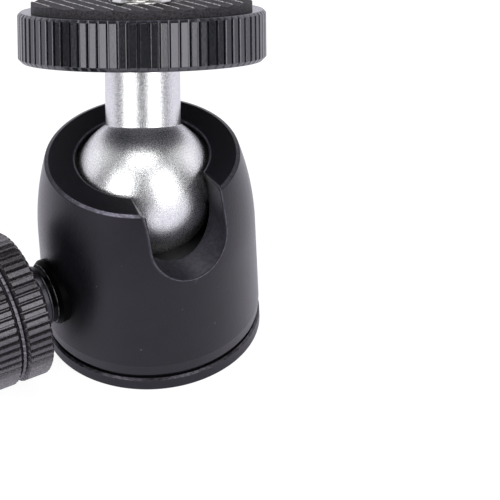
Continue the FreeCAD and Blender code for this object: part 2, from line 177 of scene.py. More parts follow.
# Lock ring
RING_RADIUS = 19.02
RING_BOTTOM = 19.05
RING_TOP = 26.86
RING_SHOULDER = 0.46
RING_BOTTOM_CHAMFER = 0.7
RING_THREAD = 4.05
RING_RECESS_RADIUS = 5.87
RING_RECESS = 0.44
RING_COUNTERBORE = 25.13
RING_ROUND = 0.15
RING_SIDE_ROUND = 0.2
RING_SHOULDER_ROUND = 0.1
# Share of the shoulder that is left out at its ends, and how strong a painted highlight the rest carries
SHOULDER_END = 0.1
SHOULDER_HIGHLIGHT = 0.5
RING_TEETH = 76
RING_PHASE = 2.98
RING_TOOTH_DEPTH = 0.42
# Shares of the pitch that a tooth's flat land, a groove's floor and a tooth's bevel take
RING_SHARES = (0.56, 0.1, 0.07)
RING_UNEVENNESS = 0.02

# Pad and its ribs
PAD_RADIUS = 16.93
PAD_HOLE = 5.0
PAD_RIM = 1.1
PAD_RIM_TOP = 27.8
PAD_EDGE = 0.7
EDGE_LEVEL = 28.2
EDGE_RELIEF = 0.35
RIB_PITCH = 2.4
RIB_START = 1.44
RIB_DIRECTION = 80.0
RIB_CREST = 28.41
RIB_VALLEY = 27.72
# A rib's section: shares of the pitch from its middle, its height there and its share of painted highlight
RIB_SHARES = (-0.06, -0.035, 0.035, 0.06, 0.25, 0.5, 0.75)
RIB_HEIGHTS = (0.9, 1, 1, 0.9, 0.42, 0, 0.42)
RIB_HIGHLIGHTS = (0, 1, 1, 0, 0, 0, 0)
RIM_FADE_START = 0.2
PAD_ROWS, PAD_WALL_ROWS = 40, 4
PAD_EDGE_PLACES, PAD_HOLE_PLACES = 91, 41

# Camera screw
FLANGE_RADIUS = 4.5
FLANGE_BOTTOM = 27.61
FLANGE_TOP = 28.41
FLANGE_ROUND = 0.12
THREAD_FILLET = 0.3
SHANK_RADIUS = 2.5
SHANK_START = 18.45
SCREW_TIP = 33.46
TIP_CHAMFER = 0.7
CAMERA_THREAD_RADIUS = 3.175
CAMERA_THREAD_PITCH = 1.27
CAMERA_THREAD_DEPTH = 0.69
THREAD_RUN_OUT = 0.5
THREAD_ROW = 0.05

# Clamp bushing, washer and collar, out along the clamp screw
BUSHING_RADIUS = 5.18
BUSHING_TAIL = 3.88
BUSHING_TAIL_START = 11.4
BUSHING_HEAD_START = 14.2
BUSHING_FACE = 17.97
BUSHING_FACE_RADIUS = 4.65
BUSHING_CONE = 0.72
BUSHING_BORE = 2.5
WASHER_RADIUS = 4.7
WASHER_START = 18.72
WASHER_END = 19.02
COLLAR_RADIUS = 4.9
COLLAR_START = 19.04
COLLAR_END = 20.04
COLLAR_ROUND = 0.22

# Knob, out along the clamp screw
KNOB_RADIUS = 11.5
KNOB_BORE = 2.47
NOSE_START = 20.06
NOSE_RADIUS = 4.1
KNOB_FACE = 21.99
KNOB_END = 31.69
KNOB_CHAMFER = 0.4
BAND_WIDTH = 4.4
GROOVE_WIDTH = 0.9
GROOVE_RADIUS = 10.4
BEAD_RADIUS = 11.02
BEAD_WIDTH = 0.46
# Half of the bead's foot, as a share of its width
BEAD_FOOT = 0.62
# Strength of the painted highlight along the bead
BEAD_HIGHLIGHT = 0.25
BEAD_MARGIN = 0.05
GROOVE_LEAN = 0.1
BAND_BEVEL = 0.42
CAP_RADIUS = 8.0
CAP_START = 30.29
KNOB_TOOTH_DEPTH = 0.6
KNOB_TEETH = 54
KNOB_PHASE = 0.36
KNOB_SHARES = (0.46, 0.12, 0.03)
KNOB_UNEVENNESS = 0.03

# Both knurls: drop of a bevel's foot as a share of the depth, change of the lands' widths, and draw
BEVEL_DROP = 0.16
LAND_CHANGE = 0.08
KNURL_SEED = 7


def linear(hex_colour):
    """Linear colour from an sRGB hex value, by the sRGB standard: a part is divided by 12.92 where
    it is small, else 0.055 is added, the sum divided by 1.055 and raised to the power 2.4."""
    parts = [int(hex_colour[i:i + 2], 16) / 255 for i in (1, 3, 5)]
    return tuple(p / 12.92 if p <= 0.04045 else ((p + 0.055) / 1.055) ** 2.4 for p in parts) + (1.0,)


def add_node(tree, kind, settings=None, **inputs):
    """Adds a node. Settings are its properties. An input is a value or another node's output,
    by the socket's name, or by its number as socket_6."""
    node = tree.nodes.new("ShaderNode" + kind)
    for key, value in (settings or {}).items():
        setattr(node, key, value)
    for key, value in inputs.items():
        name = key.replace("_", " ").lower()
        found = [s for s in node.inputs if s.name.lower() == name and s.enabled]
        socket = found[0] if found else node.inputs[int(key.rsplit("_", 1)[1])]
        if isinstance(value, bpy.types.NodeSocket):
            tree.links.new(value, socket)
        else:
            socket.default_value = value
    return node


def per_metre(size_mm):
    """Texture scale for a pattern of a size in millimetres: one over the size in metres."""
    return 1 / (size_mm * MM)


def fresh_tree(owner):
    """Empty node tree of a material or a world."""
    owner.use_nodes = True
    owner.node_tree.nodes.clear()
    return owner.node_tree


def noise(tree, place, size, roughness=0.5):
    """Fractal noise of a size in millimetres."""
    return add_node(tree, "TexNoise", Vector=place, Scale=per_metre(size), Detail=NOISE_DETAIL,
                    Roughness=roughness).outputs["Fac"]


def ramp(tree, value, over, to=(0.0, 1.0), kind="LINEAR"):
    """Goes evenly, or by a smooth step, from one number to the other while the value passes over a
    range."""
    return add_node(tree, "MapRange", {"interpolation_type": kind}, Value=value, From_Min=over[0],
                    From_Max=over[1], To_Min=to[0], To_Max=to[1]).outputs["Result"]


def blend(tree, factor, first, second):
    """Colour first x (1 - factor) + second x factor."""
    return add_node(tree, "Mix", {"data_type": "RGBA"}, Factor=factor, Socket_6=first,
                    Socket_7=second).outputs[2]


def compute(tree, operation, *values, clamp=False):
    """Result of a Math node's operation on two or three values."""
    sockets = {"Socket_%d" % i: value for i, value in enumerate(values)}
    return add_node(tree, "Math", {"operation": operation, "use_clamp": clamp}, **sockets).outputs[0]


def finish(name, colour, tint=None, roughness=0.4, spread=0.06, metallic=0.0, ior=1.5, grain=0.2,
           depth=0.01, dents=None, wear_and_highlight=None, wear_and_highlight_roughness=0.3, patch_size=0.5, patchy=0.88,
           specks=None, gloss_tint="#ffffff", sealed=0.0, mottle=3.0):
    """Material of one finish. Sizes are in millimetres.

    The colour drifts to the tint with a noise of the size mottle. A noise of the size grain moves
    the roughness by the spread and makes a relief of the depth, to which dents add round hollows
    of their size. Where the mesh is marked, the marked colour and roughness come through, by
    mark x patch: the patch is a noise of the patch size, which takes up to the share patchy away.
    The marked colour is painted light: highlights along edges and crests, and a sheen on the
    housing's notch walls. On the housing's notch edge it is wear as well.
    Specks are sparse grains of dust, gloss_tint colours the reflection, and sealed is the share
    of a thin clear seal on top."""
    material = bpy.data.materials.new(name)
    tree = fresh_tree(material)
    place = add_node(tree, "TexCoord").outputs["Object"]
    fine = noise(tree, place, grain, GRAIN_ROUGHNESS)
    shade = linear(colour)
    if tint:
        drift = ramp(tree, noise(tree, place, mottle), DRIFT_RANGE)
        shade = blend(tree, drift, shade, linear(tint))
    gloss = ramp(tree, fine, GRAIN_RANGE, (roughness - spread, roughness + spread))
    if specks:
        dust = add_node(tree, "TexVoronoi", Vector=place, Scale=per_metre(SPECK_SPACING)).outputs["Distance"]
        shade = blend(tree, ramp(tree, dust, SPECK_RANGE, (1.0, 0.0)), shade, linear(specks))
    # Marked places take painted highlights and sheen, and on a few edges wear
    if wear_and_highlight:
        mark = add_node(tree, "Attribute", {"attribute_name": "wear_and_highlight"}).outputs["Fac"]
        patch = ramp(tree, noise(tree, place, patch_size), PATCH_RANGE, (1 - patchy, 1.0))
        wear_and_highlight_share = compute(tree, "MULTIPLY", mark, patch)
        shade = blend(tree, wear_and_highlight_share, shade, linear(wear_and_highlight))
        gloss = add_node(tree, "Mix", Factor=wear_and_highlight_share, Socket_2=gloss, Socket_3=wear_and_highlight_roughness).outputs[0]
    height = fine
    if dents:
        pits = add_node(tree, "TexVoronoi", {"feature": "SMOOTH_F1"}, Vector=place,
                        Scale=per_metre(dents)).outputs["Distance"]
        height = compute(tree, "MULTIPLY_ADD", fine, DENT_GRAIN, pits)
    bump = add_node(tree, "Bump", Strength=1.0, Distance=depth * MM, Height=height).outputs["Normal"]
    shader = add_node(tree, "BsdfPrincipled", Base_Color=shade, Roughness=gloss, Metallic=metallic,
                      Normal=bump, IOR=ior, Specular_Tint=linear(gloss_tint),
                      Coat_Weight=sealed, Coat_Roughness=roughness, Coat_IOR=SEAL_IOR, Coat_Normal=bump)
    add_node(tree, "OutputMaterial", Surface=shader.outputs["BSDF"])
    return material


def turn_about(axis, angle):
    """Rotation about a unit axis: I + sin(angle) K + (1 - cos(angle)) K K, where K is the matrix of
    the cross product with the axis."""
    k = np.array([[0, -axis[2], axis[1]], [axis[2], 0, -axis[0]], [-axis[1], axis[0], 0]])
    return np.eye(3) + math.sin(angle) * k + (1 - math.cos(angle)) * k @ k


STEM_TURN = turn_about(TILT_AXIS / np.linalg.norm(TILT_AXIS), math.acos(STEM_AXIS[2]))
KNOB_TURN = turn_about(np.array([0, -1.0, 0]), math.pi / 2)


def upright(points):
    """Leaves a piece as it is built, along Z from the table's plane."""
    return points


def on_stem(points):
    """Leans a piece that is built along Z as the stem leans, and puts its origin in the ball's
    centre: turn x point + centre."""
    return points @ STEM_TURN.T + BALL_CENTRE


def on_screw(points):
    """Lays a piece that is built along Z on its side at the knob's height: its height runs
    towards -X."""
    return points @ KNOB_TURN.T + np.array([0, 0, KNOB_HEIGHT])


def grid_faces(rows, columns, wrap_rows=False, wrap_columns=False):
    """Corner numbers of the quads between a grid's points, row by row: the point in row i and
    column j has the number i x columns + j, and a wrapped grid's last points join its first."""
    i = np.arange(rows if wrap_rows else rows - 1)[:, None]
    j = np.arange(columns if wrap_columns else columns - 1)[None, :]
    right, up = (j + 1) % columns, (i + 1) % rows
    quads = np.stack([i * columns + j, i * columns + right, up * columns + right, up * columns + j], -1)
    return quads.reshape(-1, 4)


def arc(centre, radius, start, end, steps):
    """Points on a circle in the radius-height plane, between two angles in degrees: the centre
    plus the radius times (cos, sin) of the angle."""
    angle = np.radians(np.linspace(start, end, steps))
    return [(centre[0] + radius * math.cos(a), centre[1] + radius * math.sin(a)) for a in angle]


def rounded(profile, radius, steps=4):
    """Closed outline of (radius, height) points with its corners rounded. A corner's own radius
    may follow it. The arc meets both sides at the reach radius / tan(half the corner's angle), and
    its centre lies at radius / sin(half angle) on the corner's bisector."""
    out = []
    count = len(profile)
    for i, corner in enumerate(profile):
        here = np.array(corner[:2], float)
        r = corner[2] if len(corner) > 2 else radius
        before = np.array(profile[i - 1][:2], float) - here
        after = np.array(profile[(i + 1) % count][:2], float) - here
        a, b = before / np.linalg.norm(before), after / np.linalg.norm(after)
        half = math.acos(np.clip(a @ b, -1, 1)) / 2
        if r <= 0 or here[0] <= 0 or half > math.radians(NEARLY_STRAIGHT):
            out.append(here[None])
            continue
        reach = min(r / math.tan(half), ROUNDING_SHARE * np.linalg.norm(before),
                    ROUNDING_SHARE * np.linalg.norm(after))
        r = reach * math.tan(half)
        centre = here + (a + b) / np.linalg.norm(a + b) * r / math.sin(half)
        start, end = here + a * reach - centre, here + b * reach - centre
        turn = np.linspace(0, 1, steps + 1)[:, None]
        sweep = math.pi - 2 * half
        spokes = np.sin((1 - turn) * sweep) * start + np.sin(turn * sweep) * end
        out.append(centre + spokes / math.sin(sweep))
    return np.concatenate(out)


def tooth_columns(radius, depth, count, phase, widths, unevenness):
    """Angle and radius of each column of a knurl. A tooth has a flat land, two narrow bevels and two
    flanks down to the groove's floor, whose widths are shares of the pitch. A column's angle is the
    phase + (tooth number + share) x pitch, and its radius is the knurl's less its drop. Each land
    is tilted and widened by a hair."""
    land, floor, bevel = widths
    shares = np.array([-0.5 + floor / 2, -land / 2 - bevel, -land / 2, land / 2, land / 2 + bevel,
                       0.5 - floor / 2])
    drops = np.array([depth, BEVEL_DROP * depth, 0, 0, BEVEL_DROP * depth, depth])
    draw = np.random.default_rng(KNURL_SEED)
    tilt = draw.uniform(-unevenness, unevenness, (count, 1)) * np.sign(shares)
    wider = 1 + draw.uniform(-LAND_CHANGE, LAND_CHANGE, (count, 1))
    angle = np.radians(phase) + (np.arange(count)[:, None] + shares * wider) * 2 * np.pi / count
    radii = radius - drops - np.where(drops < depth, np.abs(tilt) + tilt, 0)
    return angle.reshape(-1), radii.reshape(-1)


def round_axis(radius, angle, height):
    """Points by radius, angle and height: x = r cos a, y = r sin a, z = height."""
    return np.stack(np.broadcast_arrays(radius * np.cos(angle), radius * np.sin(angle), height), -1)


def turned(outline, transform, columns=COLUMNS, teeth=None):
    """Closed outline carried round the axis. With teeth, the radius at each column is the smaller
    of the outline's and the tooth's."""
    angle, limit = teeth or (np.arange(columns) * 2 * np.pi / columns, np.full(columns, np.inf))
    radius = np.minimum(outline[:, :1], limit)
    points = round_axis(radius, angle, outline[:, 1:2]).reshape(-1, 3)
    return transform(points), grid_faces(*radius.shape, True, True)


def make_mesh(name, grids, sharp_angle=SHARP_ANGLE):
    """Mesh from grids of points, faces and a share of painted highlight and wear, which the mesh
    keeps as a point attribute. Points that meet are welded, so that seams and poles close, and edges
    sharper than the angle stay sharp."""
    points, faces, wear_and_highlight, start = [], [], [], 0
    for grid_points, polygons, *highlight_and_wear in grids:
        flat = grid_points.reshape(-1, 3)
        points.append(flat)
        wear_and_highlight.append(np.broadcast_to(highlight_and_wear[0] if highlight_and_wear else 0.0, len(flat)))
        faces += [[corner + start for corner in polygon] for polygon in np.asarray(polygons).tolist()]
        start += len(flat)
    points = np.concatenate(points)
    _, first, where = np.unique(np.round(points, WELD_DIGITS), axis=0, return_index=True,
                                return_inverse=True)
    where = where.reshape(-1)
    welded = np.zeros(len(first))
    np.maximum.at(welded, where, np.concatenate(wear_and_highlight))
    tidy = [list(dict.fromkeys(where[polygon].tolist())) for polygon in faces]
    mesh = bpy.data.meshes.new(name)
    kept = [corners for corners in tidy if len(corners) > 2]
    mesh.from_pydata((points[first] * MM).tolist(), [], kept)
    mesh.update()
    marks = mesh.attributes.new("wear_and_highlight", "FLOAT", "POINT")
    marks.data.foreach_set("value", welded.astype(np.float32))
    mesh.validate()
    mesh.shade_smooth()
    mesh.set_sharp_from_angle(angle=math.radians(sharp_angle))
    return mesh


def new_object(name, data):
    """Object in the scene."""
    thing = bpy.data.objects.new(name, data)
    bpy.context.scene.collection.objects.link(thing)
    return thing


def make_piece(name, grids, node, body, sharp_angle=SHARP_ANGLE):
    """Piece that stands for a packed one, takes its finish and rides on its body."""
    piece = new_object(name, make_mesh(name, grids, sharp_angle))
    piece.data.materials.append(finishes[node])
    level = piece.modifiers.new("flat_faces_stay_flat", "WEIGHTED_NORMAL")
    level.keep_sharp = True
    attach(piece, body)
    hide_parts(node)
    return piece


def cut_away(piece, grids):
    """Takes closed shapes away from a piece. Its shading modifier rests until the holes are in
    its mesh."""
    cutter = new_object("cutter", make_mesh("cutter", grids))
    modifier = piece.modifiers.new("holes", "BOOLEAN")
    modifier.operation = "DIFFERENCE"
    modifier.solver = "EXACT"
    modifier.object = cutter
    piece.modifiers.move(len(piece.modifiers) - 1, 0)
    level = piece.modifiers[1]
    level.show_viewport = False
    seen = piece.evaluated_get(bpy.context.evaluated_depsgraph_get())
    mesh = bpy.data.meshes.new_from_object(seen)
    level.show_viewport = True
    piece.modifiers.remove(modifier)
    piece.data = mesh
    bpy.data.objects.remove(cutter)


def highlight_near(outline, radius, height, width=HIGHLIGHT_WIDTH):
    """Share of painted highlight at an outline's points: 1 at an edge, falling evenly to 0 at the width."""
    away = np.hypot(outline[:, 0] - radius, outline[:, 1] - height)
    return np.clip(1 - away / width, 0, 1)


def make_ball_stem():
    """Ball and stem in one turning: an arc up to where its radius is the stem's, whose angle has
    the cosine stem radius / ball radius, then straight sides and the bore for the camera screw."""
    junction = math.degrees(math.acos(STEM_RADIUS / BALL_RADIUS))
    outline = [(0, STEM_BORE_FLOOR)] + arc((0, 0), BALL_RADIUS, -90, junction, BALL_STEPS) + [
        (STEM_RADIUS, RING_BOTTOM - STEM_SHOULDER), (STEM_RADIUS - STEM_SHOULDER, RING_BOTTOM),
        (STEM_SPIGOT, RING_BOTTOM), (STEM_SPIGOT, SPIGOT_END), (STEM_BORE, SPIGOT_END),
        (STEM_BORE, STEM_BORE_FLOOR)]
    outline[1] = (0, -BALL_RADIUS)
    make_piece("ball_and_stem", [turned(rounded(outline, FINE_EDGE), on_stem)], "ball_stem", "ball")


def make_clamp_bushing():
    """Turned bushing: tail, head, the cone that draws in to its face, and a countersink."""
    outline = [(BUSHING_BORE, BUSHING_TAIL_START), (BUSHING_TAIL, BUSHING_TAIL_START),
               (BUSHING_TAIL, BUSHING_HEAD_START), (BUSHING_RADIUS, BUSHING_HEAD_START),
               (BUSHING_RADIUS, BUSHING_FACE - BUSHING_CONE, SOFT_EDGE),
               (BUSHING_FACE_RADIUS + SOFT_EDGE, BUSHING_FACE - SOFT_EDGE),
               (BUSHING_FACE_RADIUS, BUSHING_FACE, FINE_EDGE),
               (BUSHING_FACE_RADIUS - SOFT_EDGE, BUSHING_FACE),
               (BUSHING_BORE + BUSHING_CONE, BUSHING_FACE), (BUSHING_BORE, BUSHING_FACE - BUSHING_CONE)]
    shape = rounded(outline, FINE_EDGE)
    points, faces = turned(shape, on_screw)
    # Painted highlight along the edge of the face
    edge = highlight_near(shape, BUSHING_FACE_RADIUS, BUSHING_FACE, SOFT_EDGE)
    make_piece("clamp_bushing_turned", [(points, faces, np.repeat(edge, COLUMNS))], "clamp_bushing",
               "housing")


def make_small_turnings():
    """Collar with rounded outer edges, washer with softly rolled edges and cap with a chamfered
    face, each an outline turned about the clamp screw."""
    collar = [(BUSHING_BORE, COLLAR_START), (COLLAR_RADIUS, COLLAR_START, COLLAR_ROUND),
              (COLLAR_RADIUS, COLLAR_END, COLLAR_ROUND), (BUSHING_BORE, COLLAR_END)]
    washer = [(BUSHING_BORE, WASHER_START), (WASHER_RADIUS, WASHER_START), (WASHER_RADIUS, WASHER_END),
              (BUSHING_BORE, WASHER_END)]
    cap = [(0, CAP_START), (CAP_RADIUS, CAP_START), (CAP_RADIUS, KNOB_END - KNOB_CHAMFER, SOFT_EDGE),
           (CAP_RADIUS - KNOB_CHAMFER, KNOB_END, SOFT_EDGE), (0, KNOB_END)]
    for node, outline, edge, body, slot in (
            ("thrust_collar", collar, FINE_EDGE, "knob_slider", "collar_anodised"),
            ("collar_washer", washer, SOFT_EDGE, "knob_slider", "collar_washer_steel"),
            ("knob_cap", cap, FINE_EDGE, "knob", "knob_cap_anodised")):
        make_piece(node + "_turned", [turned(rounded(outline, edge), on_screw)], node, body)


def make_knob():
    """Outline of the knob carried round its screw and cut by teeth. Both bands are bevelled
    towards the plain groove between them, in whose middle a narrow bead stands."""
    groove = KNOB_FACE + BAND_WIDTH
    middle = groove + GROOVE_WIDTH / 2
    bead = [(GROOVE_RADIUS, middle - BEAD_WIDTH * BEAD_FOOT),
            (BEAD_RADIUS, middle - BEAD_WIDTH / 2, FINE_EDGE),
            (BEAD_RADIUS, middle + BEAD_WIDTH / 2, FINE_EDGE),
            (GROOVE_RADIUS, middle + BEAD_WIDTH * BEAD_FOOT)]
    outline = rounded([
        (KNOB_BORE, NOSE_START), (NOSE_RADIUS, NOSE_START), (NOSE_RADIUS, KNOB_FACE),
        (KNOB_RADIUS - KNOB_CHAMFER, KNOB_FACE, SOFT_EDGE),
        (KNOB_RADIUS, KNOB_FACE + KNOB_CHAMFER, SOFT_EDGE),
        (KNOB_RADIUS, groove - BAND_BEVEL, SOFT_EDGE), (GROOVE_RADIUS, groove + GROOVE_LEAN)] + bead + [
        (GROOVE_RADIUS, groove + GROOVE_WIDTH - GROOVE_LEAN),
        (KNOB_RADIUS, groove + GROOVE_WIDTH + BAND_BEVEL, SOFT_EDGE),
        (KNOB_RADIUS, KNOB_END - KNOB_CHAMFER, SOFT_EDGE),
        (KNOB_RADIUS - KNOB_CHAMFER, KNOB_END, SOFT_EDGE),
        (CAP_RADIUS, KNOB_END), (CAP_RADIUS, CAP_START), (KNOB_BORE, CAP_START)], FINE_EDGE)
    teeth = tooth_columns(KNOB_RADIUS, KNOB_TOOTH_DEPTH, KNOB_TEETH, KNOB_PHASE, KNOB_SHARES,
                          KNOB_UNEVENNESS)
    points, faces = turned(outline, on_screw, teeth=teeth)
    # Painted highlight along the bead
    on_bead = (outline[:, 0] > BEAD_RADIUS - BEAD_MARGIN) & (abs(outline[:, 1] - middle) < BEAD_WIDTH)
    highlight_and_wear = np.repeat(BEAD_HIGHLIGHT * on_bead, len(teeth[0]))
    make_piece("knob_knurled", [(points, faces, highlight_and_wear)], "knob_body", "knob",
               KNURL_SHARP_ANGLE)


def make_lock_ring():
    """Outline of the ring turned about the stem, cut by flat-topped teeth. Its chamfered shoulder
    carries a painted highlight."""
    shape = rounded([
        (RING_THREAD, RING_BOTTOM + RING_RECESS), (RING_RECESS_RADIUS, RING_BOTTOM + RING_RECESS),
        (RING_RECESS_RADIUS, RING_BOTTOM), (RING_RADIUS - RING_BOTTOM_CHAMFER, RING_BOTTOM, RING_ROUND),
        (RING_RADIUS, RING_BOTTOM + RING_BOTTOM_CHAMFER, RING_SIDE_ROUND),
        (RING_RADIUS, RING_TOP - RING_SHOULDER, RING_SHOULDER_ROUND),
        (RING_RADIUS - RING_SHOULDER, RING_TOP, RING_ROUND), (PAD_HOLE, RING_TOP),
        (PAD_HOLE, RING_COUNTERBORE), (RING_THREAD, RING_COUNTERBORE)], FINE_EDGE)
    teeth = tooth_columns(RING_RADIUS, RING_TOOTH_DEPTH, RING_TEETH, RING_PHASE, RING_SHARES,
                          RING_UNEVENNESS)
    points, faces = turned(shape, on_stem, teeth=teeth)
    inset, drop = (RING_RADIUS - shape[:, 0]) / RING_SHOULDER, (RING_TOP - shape[:, 1]) / RING_SHOULDER
    # Painted highlight along the chamfered shoulder
    on_shoulder = (inset < 1 + SHOULDER_END) & (inset > SHOULDER_END) & (drop < 1 - SHOULDER_END)
    highlight_and_wear = np.repeat(on_shoulder * SHOULDER_HIGHLIGHT, len(teeth[0]))
    make_piece("lock_ring_knurled", [(points, faces, highlight_and_wear)], "lock_ring", "ring",
               KNURL_SHARP_ANGLE)


def thread_height(phase, flat=1 / 8):
    """Height of a 60 degree thread, from 0 at the root to 1 at the crest, by its phase: it falls and
    rises evenly between a crest and a root that are each flat over an eighth of the pitch."""
    away = np.abs((phase % 1) - 0.5) * 2
    return np.clip((away - flat) / (1 - 2 * flat), 0, 1)


def make_camera_screw():
    """Screw whose radius follows a helix: height / pitch less a point's share of a turn is the
    thread's phase. The thread runs out into the flange and into the tip's chamfer."""
    columns = SCREW_COLUMNS
    angle = np.arange(columns) * 2 * np.pi / columns
    heights = np.arange(FLANGE_TOP, SCREW_TIP, THREAD_ROW)[:, None]
    phase = heights / CAMERA_THREAD_PITCH - angle / (2 * np.pi)
    depth = CAMERA_THREAD_DEPTH * np.clip((heights - FLANGE_TOP) / THREAD_RUN_OUT, 0, 1)
    tip = CAMERA_THREAD_RADIUS - np.maximum(0, heights - (SCREW_TIP - TIP_CHAMFER))
    radius = np.minimum(CAMERA_THREAD_RADIUS - depth * (1 - thread_height(phase)), tip)
    foot = rounded([(0, SHANK_START), (SHANK_RADIUS, SHANK_START), (SHANK_RADIUS, FLANGE_BOTTOM),
                    (FLANGE_RADIUS, FLANGE_BOTTOM, SOFT_EDGE), (FLANGE_RADIUS, FLANGE_TOP, FLANGE_ROUND),
                    (CAMERA_THREAD_RADIUS + THREAD_FILLET, FLANGE_TOP)], FINE_EDGE)[:-2]
    foot_radius = np.repeat(foot[:, :1], columns, 1)
    radius = np.concatenate([foot_radius, radius, np.zeros((1, columns))])
    height = np.concatenate([foot[:, 1:2], heights, [[SCREW_TIP]]])
    points = round_axis(radius, angle, height).reshape(-1, 3)
    make_piece("camera_screw_threaded", [(on_stem(points), grid_faces(*radius.shape, False, True))],
               "camera_screw", "ball")


def make_pad():
    """Ribbed disc. A column of the grid runs along the ribs at one distance across them, from the
    hole or the middle out to sqrt(radius^2 - distance^2), and its height follows the rib's section:
    valley + (crest - valley) x rise. Towards the edge the ribs sink to its level, and round the
    hole into a plain rim, by a smooth step. Walls and an underside close it."""
    first = math.floor(-PAD_RADIUS / RIB_PITCH) - 1
    last = math.ceil(PAD_RADIUS / RIB_PITCH) + 1
    rib_places = RIB_START + (np.arange(first, last)[:, None] + np.array(RIB_SHARES)) * RIB_PITCH
    rib_places = rib_places.reshape(-1)
    rib_rises, rib_marks = np.tile(RIB_HEIGHTS, last - first), np.tile(RIB_HIGHLIGHTS, last - first)
    edge_places = np.concatenate([PAD_RADIUS * np.cos(np.linspace(0, np.pi, PAD_EDGE_PLACES)),
                                  PAD_HOLE * np.cos(np.linspace(0, np.pi, PAD_HOLE_PLACES))])
    inside = np.abs(rib_places) < PAD_RADIUS
    places = np.unique(np.round(np.concatenate([rib_places[inside], edge_places]), 4))
    rib = RIB_VALLEY + (RIB_CREST - RIB_VALLEY) * np.interp(places, rib_places, rib_rises)
    mark = np.interp(places, rib_places, rib_marks)
    outer = np.sqrt(np.maximum(PAD_RADIUS ** 2 - places ** 2, 0))
    inner = np.sqrt(np.maximum(PAD_HOLE ** 2 - places ** 2, 0))
    share = np.linspace(0, 1, PAD_ROWS)[:, None]
    turn = math.radians(RIB_DIRECTION)
    along = np.array([math.cos(turn), math.sin(turn), 0])
    across = np.array([-math.sin(turn), math.cos(turn), 0])
    up = np.array([0, 0, 1.0])
    holed = np.flatnonzero(np.abs(places) <= PAD_HOLE)
    levels = np.linspace(0, 1, PAD_WALL_ROWS)[:, None, None]
    grids = []
    for side in (1, -1):
        reach = side * (inner + (outer - inner) * share)
        fade = np.clip((np.hypot(reach, places) - PAD_HOLE) / PAD_RIM - RIM_FADE_START, 0, 1)
        fade = fade * fade * (3 - 2 * fade)
        edge = np.clip((PAD_RADIUS - np.hypot(reach, places)) / PAD_EDGE, 0, 1)
        flat = reach[..., None] * along + places[:, None] * across
        ribbed = rib * edge + (EDGE_LEVEL + (rib - EDGE_LEVEL) * EDGE_RELIEF) * (1 - edge)
        top = flat + (PAD_RIM_TOP + (ribbed - PAD_RIM_TOP) * fade)[..., None] * up
        under = flat + RING_TOP * up
        faces = grid_faces(PAD_ROWS, len(places))
        # Painted highlight on the ribs' crests, fading towards the rim and the edge
        highlight_and_wear = (mark * fade * edge).reshape(-1)
        outside = top[-1] * (1 - levels) + under[-1] * levels
        hole = (top[0] * (1 - levels) + under[0] * levels)[:, holed]
        for grid, quads, marked, flip in ((top, faces, highlight_and_wear, side > 0), (under, faces, 0.0, side < 0),
                                          (outside, grid_faces(PAD_WALL_ROWS, len(places)), 0.0, side > 0),
                                          (hole, grid_faces(PAD_WALL_ROWS, len(holed)), 0.0, side < 0)):
            grids.append((on_stem(grid.reshape(-1, 3)), quads[:, ::-1] if flip else quads, marked))
    make_piece("rubber_pad_ribbed", grids, "rubber_pad", "ring")


def make_base_plate():
    """Turned plate with a shadow groove under the housing, and countersunk holes that stand evenly
    on a circle."""
    outline = [(INSERT_HOLE, 0), (HOUSING_RADIUS - BASE_CHAMFER, 0, SOFT_EDGE),
               (HOUSING_RADIUS, BASE_CHAMFER, SOFT_EDGE), (HOUSING_RADIUS, BASE_SIDE - SOFT_EDGE),
               (HOUSING_RADIUS, BASE_SIDE, FINE_EDGE),
               (HOUSING_RADIUS - BASE_CHAMFER, BASE_SIDE + BASE_CHAMFER, FINE_EDGE),
               (HOUSING_RADIUS - BASE_CHAMFER - SOFT_EDGE, BASE_SIDE + BASE_CHAMFER),
               (SEAM_RADIUS, BASE_SIDE + BASE_CHAMFER), (SEAM_RADIUS, HOUSING_FOOT),
               (SPIGOT_RADIUS, HOUSING_FOOT), (SPIGOT_RADIUS, SPIGOT_TOP), (HUB_RADIUS, SPIGOT_TOP),
               (HUB_RADIUS, HUB_TOP), (INSERT_HOLE, HUB_TOP)]
    shape = rounded(outline, FINE_EDGE)
    points, faces = turned(shape, upright, HOUSING_COLUMNS)
    # Painted highlight along the chamfer
    middle = np.array([HOUSING_RADIUS - BASE_CHAMFER / 2, BASE_SIDE + BASE_CHAMFER / 2])
    on_chamfer = np.hypot(*(shape - middle).T) < BASE_CHAMFER * BASE_HIGHLIGHT_SHARE
    highlight_and_wear = np.repeat(on_chamfer * 1.0, HOUSING_COLUMNS)
    plate = make_piece("base_plate_turned", [(points, faces, highlight_and_wear)], "base_plate", "housing")
    cone = SCREW_HEAD_RADIUS - SCREW_HOLE_RADIUS
    hole = np.array([(0, -CUT_MARGIN), (SCREW_HEAD_RADIUS + CUT_MARGIN, -CUT_MARGIN),
                     (SCREW_HOLE_RADIUS, cone), (SCREW_HOLE_RADIUS, HOUSING_FOOT + CUT_MARGIN),
                     (0, HOUSING_FOOT + CUT_MARGIN)])
    points, faces = turned(hole, upright, HOLE_COLUMNS)
    turns = 2 * np.pi / SCREW_COUNT * np.arange(SCREW_COUNT)
    centres = SCREW_CIRCLE * np.stack([np.cos(turns), np.sin(turns), 0 * turns], -1)
    cut_away(plate, [(points + centre, faces) for centre in centres])


